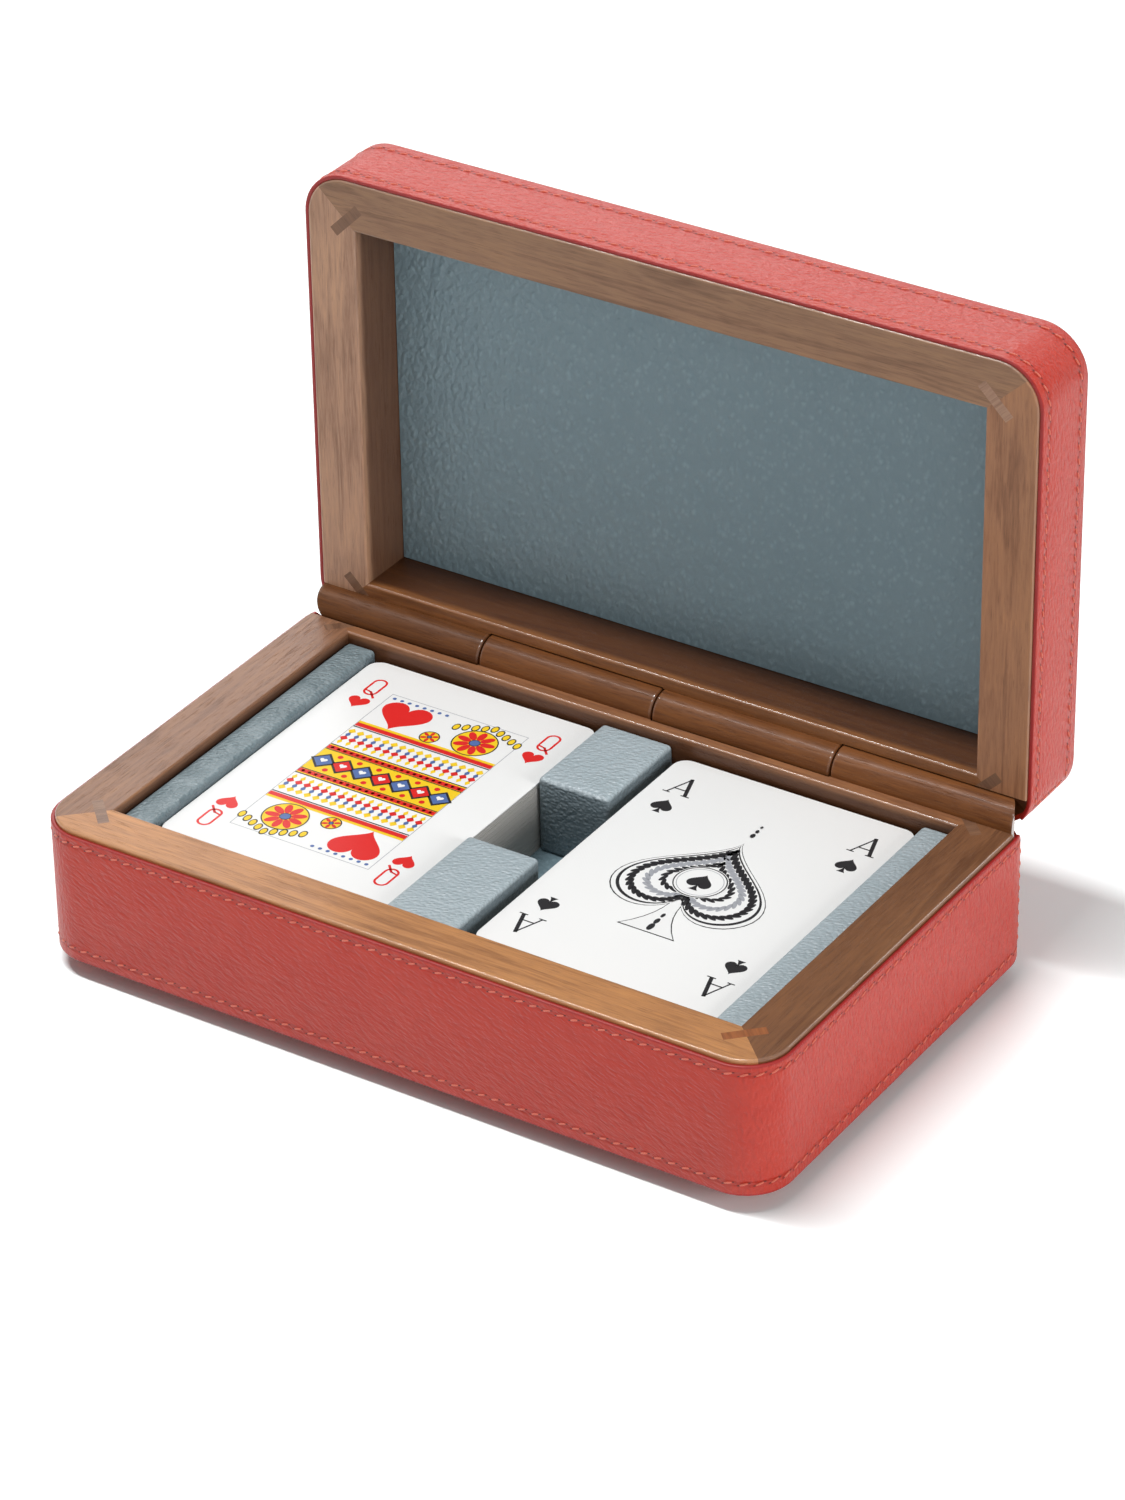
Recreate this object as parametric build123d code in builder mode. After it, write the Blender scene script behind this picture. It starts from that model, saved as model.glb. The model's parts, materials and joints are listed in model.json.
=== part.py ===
from build123d import *
import os
from math import cos, radians, sin

# Two-deck playing-card case: a walnut tray and a walnut lid, both bound in red leather,
# joined along the back by a wooden barrel hinge, with the lid standing open at its stop.
# Millimetres. X runs along the hinge, +Y towards the hinge, +Z up. The origin is on the
# surface that the case stands on, below the middle of the open case.

# Cards
card_w = 63.0
card_l = 88.0
card_r = 3.5
card_t = 0.3
deck_t = 17.4
deck_recess = 4.4
deck_side_gap = 0.3
deck_front_gap = 3.65
deck_back_gap = 1.25

# Padded dividers wrapped in leather
strip_w = 8.0
block_w = 19.0
block_left_gap = 0.3
block_right_gap = 2.7
divider_recess = 2.4
divider_fit = 0.2
divider_round = 1.4
finger_gap = 28.3
finger_gap_y = 3.85

# Frames of the tray and the lid
side_rail_w = 13.0
end_rail_w = 12.3
corner_r = 10.5
edge_round = 0.6

# Outer leather
leather_t = 1.0
leather_round = 0.6
parting_gap = 0.3

# Boards let into the frames, and what lines them
board_seat = 5.0
board_fit = 0.1
tray_board_t = 8.0
floor_pad_t = 3.4
lid_board_t = 3.1
lid_lining_t = 1.2
lining_fit = 0.2
lid_recess = 15.2

# Keys let in across the mitres
key_length = 10.0
key_width = 2.6
key_depth = 3.0
key_inset = 3.3

# Barrel hinge
barrel_r = 5.3
axis_inset = 3.75
knuckle_count = 4
knuckle_gap = 0.3
knuckle_round = 0.6
barrel_end_r = 13.0
barrel_end_gap = 0.4
running_gap = 0.35
glue_gap = 0.05
tenon_w = 4.0
tenon_depth = 9.5
tenon_offset = -0.5
tenon_end = 8.0
pin_r = 1.2
pin_running_fit = 0.05
pin_end = 4.5
pin_end_gap = 0.2
open_angle = 90.0
stop_gap = 0.2

# Leather joints at the rounded back corners
band_end_angle = 36.0
leather_butt = 0.3

# Feet
foot_h = 4.4
foot_r = 7.0
foot_inset_x = 15.5
foot_inset_y = 14.5
foot_round = 0.6

# Across the tray: the gap between the decks, a deck, a strip and a rail on each side
centre_gap = block_left_gap + block_w + block_right_gap
deck_x = centre_gap / 2 + card_w / 2
strip_x = centre_gap / 2 + card_w + deck_side_gap + strip_w / 2
inner_x = strip_x + strip_w / 2 + divider_fit
half_w = inner_x + side_rail_w
case_width = 2 * half_w
block_x = (block_left_gap - block_right_gap) / 2

# Along the tray: the front gap, a deck and the back gap between two rails
inner_y = (deck_front_gap + card_l + deck_back_gap) / 2
deck_y = (deck_front_gap - deck_back_gap) / 2
half_d = inner_y + end_rail_w
case_depth = 2 * half_d

# Up through the tray: a foot, the leather, the board, the pad, a deck and the recess over it
board_z = foot_h + leather_t
pad_z = board_z + tray_board_t
tray_floor_z = pad_z + floor_pad_t
rim_z = tray_floor_z + deck_t + card_t + deck_recess
tray_h = rim_z - foot_h
tray_rail_h = tray_h - leather_t

# Out through the lid: the recess, the lining, the board and the leather
lid_rail_h = lid_recess + lid_lining_t + lid_board_t
lid_h = lid_rail_h + leather_t

# The hinge
axis_y = half_d - axis_inset
axis_z = rim_z + parting_gap / 2
barrel_clear_r = barrel_r + running_gap

# The tray is set forward so that the origin lies midway between the tray's front
# and the back of the opened lid, which stands upright on the hinge axis.
open_back = axis_y + parting_gap / 2 + lid_h
tray_front = half_d + leather_t
tray_y = (tray_front - open_back) / 2

# Frame planes: both pass through the hinge axis, and their local X and Y are the closed
# case's own, so one outline serves both. The tray lies below its plane and the lid,
# which is turned open about the axis, lies above its own.
turn = radians(open_angle)
axis_point = Vector(0, tray_y + axis_y, axis_z)
lid_back_dir = Vector(0, cos(turn), -sin(turn))
tray_plane = Plane(origin=(0, tray_y, axis_z), x_dir=(1, 0, 0), z_dir=(0, 0, 1))
lid_plane = Plane(
    origin=axis_point - lid_back_dir * axis_y,
    x_dir=(1, 0, 0),
    z_dir=(0, sin(turn), cos(turn)),
)


class Frame:
    """One half of the case: its plane, and the side of that plane on which it lies."""

    def __init__(self, name, plane, side, height, rail_h, board_t):
        self.name = name
        self.plane = plane
        self.side = side
        self.height = height
        self.rail_h = rail_h
        self.board_t = board_t

    def level(self, depth):
        """The plane at a depth from the parting face, measured into this half."""
        return self.plane.offset(self.side * (parting_gap / 2 + depth))

    def outward(self, length):
        """An extrusion length that runs away from the parting face."""
        return self.side * length

    def profile(self, x):
        """The plane across the hinge at x: local X points to the back, local Y up."""
        point = axis_point + Vector(x, 0, 0)
        return Plane(origin=point, x_dir=self.plane.y_dir, z_dir=self.plane.x_dir)

    def parting_face(self, part):
        """The face on which the closed halves meet."""
        return part.faces().sort_by(Axis(axis_point, self.plane.z_dir * -self.side))[-1]

    def far_face(self, part):
        """The outermost face, opposite the parting face."""
        return part.faces().sort_by(Axis(axis_point, self.plane.z_dir * self.side))[-1]


tray = Frame("tray", tray_plane, -1, tray_h, tray_rail_h, tray_board_t)
lid = Frame("lid", lid_plane, 1, lid_h, lid_rail_h, lid_board_t)


def knuckle_span(index):
    """The stretch of the hinge that one knuckle fills, from the left."""
    length = case_width / knuckle_count
    return -half_w + index * length, -half_w + (index + 1) * length


def knuckle_owner(index):
    """The lid has the first knuckle from the left, and they alternate."""
    return "lid" if index % 2 == 0 else "tray"


def make_coves(frame):
    """What is hollowed for the barrel: tight on the frame's own knuckles, free elsewhere."""
    with BuildPart() as coves:
        for index in range(knuckle_count):
            start, end = knuckle_span(index)
            if index == 0:
                start -= corner_r
            if index == knuckle_count - 1:
                end += corner_r
            gap = glue_gap if knuckle_owner(index) == frame.name else running_gap
            with BuildSketch(frame.profile(start)):
                Circle(barrel_r + gap)
            extrude(amount=end - start)
    return coves


def tenon_locations(frame):
    """Where this frame's own knuckles are tenoned in."""
    places = []
    for index in range(knuckle_count):
        if knuckle_owner(index) == frame.name:
            places.append((sum(knuckle_span(index)) / 2, axis_y + tenon_offset))
    return places


tenon_length = case_width / knuckle_count - 2 * tenon_end


def key_location(sx, sy):
    """The centre and turn of the key across the mitre in one corner."""
    step = key_inset / 2**0.5
    return Location((sx * (inner_x + step), sy * (inner_y + step)), -45 * sx * sy)


def rail_corners(side):
    """The plan of one mitred rail, from the outer corners to the inner ones."""
    outer = {"left": (-1, -1), "front": (1, -1), "right": (1, 1), "back": (-1, 1)}
    order = ["left", "front", "right", "back"]
    first = outer[side]
    second = outer[order[order.index(side) - 1]]
    return [
        (first[0] * half_w, first[1] * half_d),
        (second[0] * half_w, second[1] * half_d),
        (second[0] * inner_x, second[1] * inner_y),
        (first[0] * inner_x, first[1] * inner_y),
    ]


def make_rail(frame, side, coves):
    """A walnut rail with its rebate for the board, its key pockets and its cove."""
    with BuildPart() as rail:
        with BuildSketch(frame.level(0)):
            RectangleRounded(case_width, case_depth, corner_r)
            with BuildLine():
                Polyline(*rail_corners(side), close=True)
            make_face(mode=Mode.INTERSECT)
        extrude(amount=frame.outward(frame.rail_h))
        along = [
            edge
            for edge in frame.parting_face(rail).edges()
            if edge.geom_type == GeomType.CIRCLE
            or abs(edge.tangent_at(0.5).X) > 0.99
            or abs(edge.tangent_at(0.5).X) < 0.01
        ]
        fillet(along, edge_round)
        with BuildSketch(frame.level(frame.rail_h)):
            Rectangle(2 * (inner_x + board_seat), 2 * (inner_y + board_seat))
        extrude(amount=-frame.outward(frame.board_t), mode=Mode.SUBTRACT)
        with BuildSketch(frame.level(0)):
            with Locations(*[key_location(sx, sy) for sx in (-1, 1) for sy in (-1, 1)]):
                Rectangle(key_length, key_width)
        extrude(amount=frame.outward(key_depth), mode=Mode.SUBTRACT)
        if side != "front":
            add(coves.part, mode=Mode.SUBTRACT)
        if side == "back":
            with BuildSketch(frame.plane):
                with Locations(*tenon_locations(frame)):
                    Rectangle(tenon_length, tenon_w)
            extrude(amount=frame.outward(tenon_depth), mode=Mode.SUBTRACT)
    return rail


def make_key(frame, sx, sy, coves):
    """The key across one mitre, flush with the parting face."""
    with BuildPart() as key:
        with BuildSketch(frame.level(0)):
            with Locations(key_location(sx, sy)):
                Rectangle(key_length, key_width)
        extrude(amount=frame.outward(key_depth))
        if sy > 0:
            add(coves.part, mode=Mode.SUBTRACT)
    return key


def make_board(frame):
    """The board in the rebate, under the outer leather."""
    with BuildPart() as board:
        with BuildSketch(frame.level(frame.rail_h - frame.board_t)):
            Rectangle(
                2 * (inner_x + board_seat - board_fit), 2 * (inner_y + board_seat - board_fit)
            )
        extrude(amount=frame.outward(frame.board_t))
    return board


def make_face_leather(frame):
    """The leather over the board and the rails' far edges, inside the band."""
    with BuildPart() as face_leather:
        with BuildSketch(frame.level(frame.rail_h)):
            RectangleRounded(case_width, case_depth, corner_r)
        extrude(amount=frame.outward(leather_t))
    return face_leather


def back_sector(margin):
    """The plan region behind the radial butt joints in the two back corners."""
    turn_x = half_w - corner_r
    turn_y = half_d - corner_r
    reach = 3 * corner_r
    end_x = turn_x + reach * cos(radians(band_end_angle))
    end_y = turn_y + reach * sin(radians(band_end_angle))
    shift = margin / cos(radians(band_end_angle))
    return [
        (-turn_x, turn_y + shift),
        (turn_x, turn_y + shift),
        (end_x, end_y + shift),
        (end_x, end_y + reach),
        (-end_x, end_y + reach),
        (-end_x, end_y + shift),
    ]


def make_wrap(frame):
    """The whole ring of leather round the frame, before it is parted into band and back."""
    with BuildPart() as wrap:
        with BuildSketch(frame.level(0)):
            RectangleRounded(
                case_width + 2 * leather_t, case_depth + 2 * leather_t, corner_r + leather_t
            )
        extrude(amount=frame.outward(frame.height))
        fillet(frame.far_face(wrap).edges(), leather_round)
        with BuildSketch(frame.level(0)):
            RectangleRounded(case_width, case_depth, corner_r)
        extrude(amount=frame.outward(frame.height), mode=Mode.SUBTRACT)
    return wrap


def make_band(frame, wrap):
    """The leather band round the left side, the front and the right side."""
    with BuildPart() as band:
        add(wrap.part)
        with BuildSketch(frame.level(0)):
            with BuildLine():
                Polyline(*back_sector(0), close=True)
            make_face()
        extrude(amount=frame.outward(frame.height), mode=Mode.SUBTRACT)
    return band


def make_back_leather(frame, wrap):
    """The leather across the back, bevelled along the hinge where the open lid stops."""
    side = frame.side
    reach = 3 * barrel_r
    with BuildPart() as back_leather:
        add(wrap.part)
        with BuildSketch(frame.level(0)):
            with BuildLine():
                Polyline(*back_sector(leather_butt), close=True)
            make_face()
        extrude(amount=frame.outward(frame.height), mode=Mode.INTERSECT)
        with BuildSketch(frame.profile(0)):
            with BuildLine():
                Polyline(
                    (-reach, side * stop_gap),
                    (0, side * stop_gap),
                    (reach, side * (reach + stop_gap)),
                    (reach, -side * reach),
                    (-reach, -side * reach),
                    close=True,
                )
            make_face()
            Circle(barrel_clear_r)
        extrude(amount=case_width, both=True, mode=Mode.SUBTRACT)
    return back_leather


def make_knuckle(frame, index):
    """One knuckle: a bored length of barrel with a tenon down into its own rail."""
    start, end = knuckle_span(index)
    first, last = index == 0, index == knuckle_count - 1
    start = start if first else start + knuckle_gap / 2
    end = end if last else end - knuckle_gap / 2
    bore_r = pin_r if frame.name == "tray" else pin_r + pin_running_fit
    barrel_back = axis_y + barrel_r
    with BuildPart() as knuckle:
        with BuildSketch(frame.profile(start)):
            Circle(barrel_r)
        extrude(amount=end - start)
        rims = knuckle.edges().filter_by(GeomType.CIRCLE).sort_by(Axis.X)
        free_rims = [rims[-1]] if first else [rims[0]] if last else [rims[0], rims[-1]]
        fillet(free_rims, knuckle_round)
        with BuildSketch(frame.plane.offset(-barrel_r)):
            with Locations((0, barrel_back - case_depth / 2)):
                RectangleRounded(
                    case_width - 2 * barrel_end_gap, case_depth, barrel_end_r
                )
        extrude(amount=2 * barrel_r, mode=Mode.INTERSECT)
        with BuildSketch(frame.plane):
            with Locations((sum(knuckle_span(index)) / 2, axis_y + tenon_offset)):
                Rectangle(tenon_length, tenon_w)
        extrude(amount=frame.outward(tenon_depth))
        bore_start = max(start, -half_w + pin_end)
        bore_end = min(end, half_w - pin_end)
        with BuildSketch(frame.profile(bore_start)):
            Circle(bore_r)
        extrude(amount=bore_end - bore_start, mode=Mode.SUBTRACT)
    return knuckle


def level(z):
    """A horizontal plane above the tray's middle."""
    return Plane(origin=(0, tray_y, z))


def make_divider(x, y, length_x, length_y):
    """A divider that stands on the tray floor: a wooden core and its leather cover."""
    height = rim_z - divider_recess - tray_floor_z
    with BuildPart() as core:
        with BuildSketch(level(tray_floor_z)):
            with Locations((x, y)):
                Rectangle(length_x - 2 * leather_t, length_y - 2 * leather_t)
        extrude(amount=height - leather_t)
    with BuildPart() as cover:
        with BuildSketch(level(tray_floor_z)):
            with Locations((x, y)):
                Rectangle(length_x, length_y)
        extrude(amount=height)
        fillet(cover.faces().sort_by(Axis.Z)[-1].edges(), divider_round)
        add(core.part, mode=Mode.SUBTRACT)
    return core, cover


def make_deck(x):
    """A pack of cards: the stack, and the top card that lies on it."""
    with BuildPart() as stack:
        with BuildSketch(level(tray_floor_z)):
            with Locations((x, deck_y)):
                RectangleRounded(card_w, card_l, card_r)
        extrude(amount=deck_t)
    with BuildPart() as top_card:
        with BuildSketch(level(tray_floor_z + deck_t)):
            with Locations((x, deck_y)):
                RectangleRounded(card_w, card_l, card_r)
        extrude(amount=card_t)
    return stack, top_card


pieces = {}

# The two mitred frames and what binds them
corners = {
    "front_left": (-1, -1),
    "front_right": (1, -1),
    "back_left": (-1, 1),
    "back_right": (1, 1),
}
for frame in (tray, lid):
    coves = make_coves(frame)
    wrap = make_wrap(frame)
    for side in ("front", "back", "left", "right"):
        pieces[frame.name + "_" + side + "_rail"] = make_rail(frame, side, coves)
    for corner, (sx, sy) in corners.items():
        pieces[frame.name + "_" + corner + "_key"] = make_key(frame, sx, sy, coves)
    pieces[frame.name + "_board"] = make_board(frame)
    pieces[frame.name + "_leather_band"] = make_band(frame, wrap)
    pieces[frame.name + "_back_leather"] = make_back_leather(frame, wrap)
pieces["tray_underside_leather"] = make_face_leather(tray)
pieces["lid_top_leather"] = make_face_leather(lid)

# The barrel hinge
for index in range(knuckle_count):
    owner = tray if knuckle_owner(index) == "tray" else lid
    name = "hinge_knuckle_" + str(index + 1)
    pieces[name] = make_knuckle(owner, index)

pin_half = half_w - pin_end - pin_end_gap
with BuildPart() as hinge_pin:
    with BuildSketch(tray.profile(-pin_half)):
        Circle(pin_r)
    extrude(amount=2 * pin_half)
pieces["hinge_pin"] = hinge_pin

# The lid's lining
with BuildPart() as lid_lining:
    with BuildSketch(lid.level(lid_recess)):
        Rectangle(2 * (inner_x - lining_fit), 2 * (inner_y - lining_fit))
    extrude(amount=lid_lining_t)
pieces["lid_lining"] = lid_lining

# The padded floor of the tray
with BuildPart() as tray_floor_pad:
    with BuildSketch(level(pad_z)):
        Rectangle(2 * (inner_x - lining_fit), 2 * (inner_y - lining_fit))
    extrude(amount=floor_pad_t)
pieces["tray_floor_pad"] = tray_floor_pad

# The side strips
strip_l = 2 * (inner_y - divider_fit)
for name, x in (("left_strip", -strip_x), ("right_strip", strip_x)):
    core, cover = make_divider(x, 0, strip_w, strip_l)
    pieces[name + "_core"] = core
    pieces[name + "_cover"] = cover

# The centre blocks, with the finger gap between them
gap_front = finger_gap_y - finger_gap / 2
gap_back = finger_gap_y + finger_gap / 2
block_front = -inner_y + divider_fit
block_back = inner_y - divider_fit
for name, y0, y1 in (("front_block", block_front, gap_front), ("back_block", gap_back, block_back)):
    core, cover = make_divider(block_x, (y0 + y1) / 2, block_w, y1 - y0)
    pieces[name + "_core"] = core
    pieces[name + "_cover"] = cover

# The two decks, each against its side strip
for name, x in (("left", -deck_x), ("right", deck_x)):
    stack, top_card = make_deck(x)
    pieces[name + "_card_stack"] = stack
    pieces[name + "_top_card"] = top_card

# The feet
for corner, (sx, sy) in corners.items():
    with BuildPart() as foot:
        with BuildSketch(level(0)):
            with Locations((sx * (half_w - foot_inset_x), sy * (half_d - foot_inset_y))):
                Circle(foot_r)
        extrude(amount=foot_h)
        chamfer(foot.faces().sort_by(Axis.Z)[0].edges(), foot_round)
    pieces[corner + "_foot"] = foot

os.makedirs("parts", exist_ok=True)
for name, piece in pieces.items():
    piece.part.label = name
    export_step(piece.part, "parts/" + name + ".step")
print(len(pieces), "pieces, rim at", round(rim_z, 2), "hinge axis at", axis_point)
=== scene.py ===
import json
import math
import random

import bpy
from mathutils import Matrix, Vector


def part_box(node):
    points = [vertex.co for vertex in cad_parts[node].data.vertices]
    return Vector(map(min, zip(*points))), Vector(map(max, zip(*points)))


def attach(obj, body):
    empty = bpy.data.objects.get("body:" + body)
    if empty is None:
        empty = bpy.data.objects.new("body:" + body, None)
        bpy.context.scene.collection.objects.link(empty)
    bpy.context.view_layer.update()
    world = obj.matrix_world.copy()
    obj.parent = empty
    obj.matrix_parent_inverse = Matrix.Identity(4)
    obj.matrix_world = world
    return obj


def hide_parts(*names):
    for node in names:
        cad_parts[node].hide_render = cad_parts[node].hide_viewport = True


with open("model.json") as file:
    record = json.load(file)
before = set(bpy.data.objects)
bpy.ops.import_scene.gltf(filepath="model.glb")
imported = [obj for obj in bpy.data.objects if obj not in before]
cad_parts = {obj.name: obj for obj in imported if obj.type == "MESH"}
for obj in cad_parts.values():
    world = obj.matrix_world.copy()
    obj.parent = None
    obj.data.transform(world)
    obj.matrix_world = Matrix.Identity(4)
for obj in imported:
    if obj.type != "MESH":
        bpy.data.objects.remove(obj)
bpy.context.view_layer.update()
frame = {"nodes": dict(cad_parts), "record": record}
bpy.ops.object.select_all(action="DESELECT")

# Sizes that the frame doesn't state, in metres
CORNER_R = 0.0105
LEATHER_T = 0.001
PARTING_GAP = 0.0003
BAND_END = 36
END_ROW = 22
TRAY_LIP = 0.001
LID_LIP = 0.0003
TRIM_START = 0.0035
STITCH_INSET = 0.0031
STITCH_PITCH = 0.0035
STITCH_LENGTH = 0.0026
STITCH_WIDTH = 0.0005
STITCH_SLANT = 18
HOLE_LENGTH = 0.0008
HOLE_WIDTH = 0.00032
CARD_PITCH = 0.0003
CARD_R = 0.0035
INK_LIFT = 0.00002

# Places read from the frame
wood_low, wood_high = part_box("tray_underside_leather")
half_w = (wood_high.x - wood_low.x) / 2
half_d = (wood_high.y - wood_low.y) / 2
middle_y = (wood_high.y + wood_low.y) / 2
foot_z = wood_low.z
rim_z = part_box("tray_front_rail")[1].z
hinge = Vector(frame["record"]["behaviour"]["joints"][0]["pos_m"])
lid_low, lid_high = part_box("lid_leather_band")
lid_h = lid_high.y - lid_low.y
open_turn = (
    Matrix.Translation(hinge) @ Matrix.Rotation(-math.pi / 2, 4, "X") @ Matrix.Translation(-hinge)
)


class Half:
    """The tray or the lid, laid out as in the closed case and turned to where it rests."""

    def __init__(self, body, near_z, far_z, turn, lip):
        self.body = body
        self.near_z = near_z
        self.far_z = far_z
        self.turn = turn
        self.outward = 1 if far_z > near_z else -1
        self.leather_z = near_z + self.outward * lip


tray = Half("tray", rim_z, foot_z, Matrix.Identity(4), TRAY_LIP)
lid = Half("lid", rim_z + PARTING_GAP, rim_z + PARTING_GAP + lid_h, open_turn, LID_LIP)


# Shader maths


class Value:
    """One output of a material's nodes, which adds Math nodes when it is reckoned with."""

    def __init__(self, finish, socket):
        self.finish = finish
        self.socket = socket

    def math(self, operation, *others):
        inputs = dict(enumerate([self, *others]))
        return self.finish.node("ShaderNodeMath", {"operation": operation}, inputs)

    def __add__(self, other):
        return self.math("ADD", other)

    def __radd__(self, other):
        return self.math("ADD", other)

    def __sub__(self, other):
        return self.math("SUBTRACT", other)

    def __rsub__(self, other):
        inputs = {0: other, 1: self}
        return self.finish.node("ShaderNodeMath", {"operation": "SUBTRACT"}, inputs)

    def __mul__(self, other):
        return self.math("MULTIPLY", other)

    def __rmul__(self, other):
        return self.math("MULTIPLY", other)

    def __truediv__(self, other):
        return self.math("DIVIDE", other)

    def __abs__(self):
        return self.math("ABSOLUTE")

    def step(self, low, high):
        """0 below low, 1 above high and smooth between."""
        settings = {"interpolation_type": "SMOOTHSTEP"}
        inputs = {"Value": self, "From Min": low, "From Max": high}
        return self.finish.node("ShaderNodeMapRange", settings, inputs)


class Finish:
    """One procedural material: its nodes, its shader's constants and what varies."""

    def __init__(self, name, **constants):
        self.material = bpy.data.materials.new(name)
        self.material.use_nodes = True
        self.tree = self.material.node_tree
        self.shader = self.tree.nodes["Principled BSDF"]
        for socket, value in constants.items():
            self.shader.inputs[socket.replace("_", " ")].default_value = value

    def node(self, kind, settings=None, inputs=None, output=0):
        made = self.tree.nodes.new(kind)
        for key, value in (settings or {}).items():
            if key == "stops":
                self.set_stops(made.color_ramp, value)
            else:
                setattr(made, key, value)
        for key, value in (inputs or {}).items():
            if isinstance(value, Value):
                self.tree.links.new(value.socket, made.inputs[key])
            else:
                made.inputs[key].default_value = value
        return Value(self, made.outputs[output])

    def set_stops(self, ramp, stops):
        while len(ramp.elements) < len(stops):
            ramp.elements.new(0.5)
        for element, (place, colour) in zip(ramp.elements, stops):
            element.position = place
            element.color = (*colour, 1.0)

    def place(self, stretch=(1, 1, 1), shift=(0, 0, 0), turn=(0, 0, 0)):
        """Object coordinates in millimetres, for a pattern that is stretched along turned axes."""
        coordinates = self.node("ShaderNodeTexCoord", output="Object")
        inputs = {"Vector": coordinates, "Rotation": turn}
        inputs["Scale"] = tuple(0.001 * part for part in stretch)
        inputs["Location"] = tuple(0.001 * part for part in shift)
        return self.node("ShaderNodeMapping", {"vector_type": "TEXTURE"}, inputs)

    def noise(self, where, size, detail=2.0, rough=0.5, distortion=0.0):
        inputs = {"Vector": where, "Scale": 1 / size, "Detail": detail}
        inputs["Roughness"] = rough
        inputs["Distortion"] = distortion
        return self.node("ShaderNodeTexNoise", {"noise_dimensions": "3D"}, inputs)

    def soft_cells(self, where, size, smooth):
        inputs = {"Vector": where, "Scale": 1 / size, "Randomness": 1.0, "Smoothness": smooth}
        settings = {"voronoi_dimensions": "3D", "feature": "SMOOTH_F1"}
        return self.node("ShaderNodeTexVoronoi", settings, inputs, "Distance")

    def warp(self, where, size, amount):
        """The place shifted about by a soft noise."""
        inputs = {"Vector": where, "Scale": 1 / size, "Detail": 2.0}
        drift = self.node("ShaderNodeTexNoise", {}, inputs, "Color")
        centred = self.vector_math("SUBTRACT", {0: drift, 1: (0.5,) * 3})
        scaled = self.vector_math("SCALE", {0: centred, "Scale": amount})
        return self.vector_math("ADD", {0: where, 1: scaled})

    def vector_math(self, operation, inputs):
        return self.node("ShaderNodeVectorMath", {"operation": operation}, inputs)

    def mix(self, share, first, second):
        settings = {"data_type": "RGBA", "blend_type": "MIX"}
        inputs = {"Factor": share, 6: colour_of(first), 7: colour_of(second)}
        return self.node("ShaderNodeMix", settings, inputs, 2)

    def part(self, where, axis):
        """One coordinate of a place."""
        return self.node("ShaderNodeSeparateXYZ", {}, {"Vector": where}, axis)

    def arris(self):
        """1 on the rounded edges of a square-cut piece, 0 on its flat faces."""
        normal = self.node("ShaderNodeTexCoord", output="Normal")
        flat = abs(self.part(normal, 0))
        for axis in (1, 2):
            flat = flat.math("MAXIMUM", abs(self.part(normal, axis)))
        return 1.0 - flat.step(0.93, 0.99)

    def feed(self, socket, value):
        self.tree.links.new(value.socket, self.shader.inputs[socket])

    def bump(self, height, distance):
        inputs = {"Height": height, "Distance": distance, "Strength": 1.0}
        self.feed("Normal", self.node("ShaderNodeBump", {}, inputs))


def scaled_colour(share, colour):
    return tuple(share * part for part in colour)


def colour_of(value):
    return value if isinstance(value, Value) else (*value, 1.0)


def srgb(red, green, blue):
    """A colour as the photograph's 0 to 255 steps, turned to linear light."""
    return tuple(
        step / 12.92 if step <= 0.04045 else ((step + 0.055) / 1.055) ** 2.4
        for step in (red / 255, green / 255, blue / 255)
    )


# Materials


def walnut(
    name, grain_axis, shift, body, gloss=0.34, turn=(0, 0, 0), inside=None, splits=(), shine=0.34
):
    """Satin walnut with its grain along one axis, polished edges and painted shade on the walls
    inside a recess.
    """
    finish = Finish(name, Coat_Roughness=0.12, Specular_IOR_Level=shine)
    along = [1.0, 1.0, 1.0]
    along[grain_axis] = 15.0
    where = finish.warp(finish.place(along, shift, turn), 5.0, 1.2)
    broad = finish.noise(finish.place((20.0,) * 3, shift, turn), 1.0, 2.0)
    figure = finish.noise(where, 4.2, 3.0, 0.5, 0.6)
    rings = (figure * 30.0).math("SINE") * 0.5 + 0.5
    fibres = finish.noise(where, 0.42, 4.0, 0.62)
    tone = 0.44 * fibres + 0.30 * figure + 0.12 * rings + 0.28 * broad
    dark = tuple(share * part for share, part in zip((0.62, 0.56, 0.52), body))
    light = tuple(share * part for share, part in zip((1.3, 1.32, 1.22), body))
    stops = [(0.38, dark), (0.57, body), (0.78, light)]
    wood = finish.node("ShaderNodeValToRGB", {"stops": stops}, {"Fac": tone})
    thin = [0.2, 0.2, 0.2]
    thin[grain_axis] = 5.0
    streaks = finish.noise(finish.place(thin, shift, turn), 1.0, 2.0, 0.5)
    pores = streaks.step(0.58, 0.70)
    surface = finish.mix(pores * 0.38, wood, scaled_colour(0.34, body))
    # Painted shade: the walls inside a recess are darkened towards a deep brown.
    if inside is not None:
        axis, start, stop = inside
        recess_shade_mask = finish.part(finish.place(), axis).step(start, stop)
        recess_shade_colour = tuple(share * part for share, part in zip((0.16, 0.09, 0.05), body))
        surface = finish.mix(recess_shade_mask * 0.72, surface, recess_shade_colour)
    finish.feed("Base Color", surface)
    polish = finish.arris()
    if splits:
        along_x = finish.part(finish.place(), 0)
        near_split = [1.0 - abs(along_x - 1000 * split).step(0.35, 0.85) for split in splits]
        polish = near_split[0].math("MAXIMUM", near_split[1])
    finish.feed("Coat Weight", 0.2 * shine + 0.9 * polish)
    finish.feed("Roughness", gloss + 0.2 * pores + 0.14 * fibres)
    finish.bump(fibres * 0.22 - pores * 0.8, 0.00004)
    return finish.material


def pebbled(finish, size, stretch, turn, creased):
    """Soft swells, creased between pebbles as far as told, drawn out along one direction."""
    where = finish.warp(finish.place(stretch, turn=turn), 2.5 * size, 0.6 * size)
    reach = finish.soft_cells(where, size, 0.35)
    swell = finish.noise(where, size, 2.0, 0.5, 0.3)
    return swell * (1.4 - creased) - reach * creased


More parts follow.
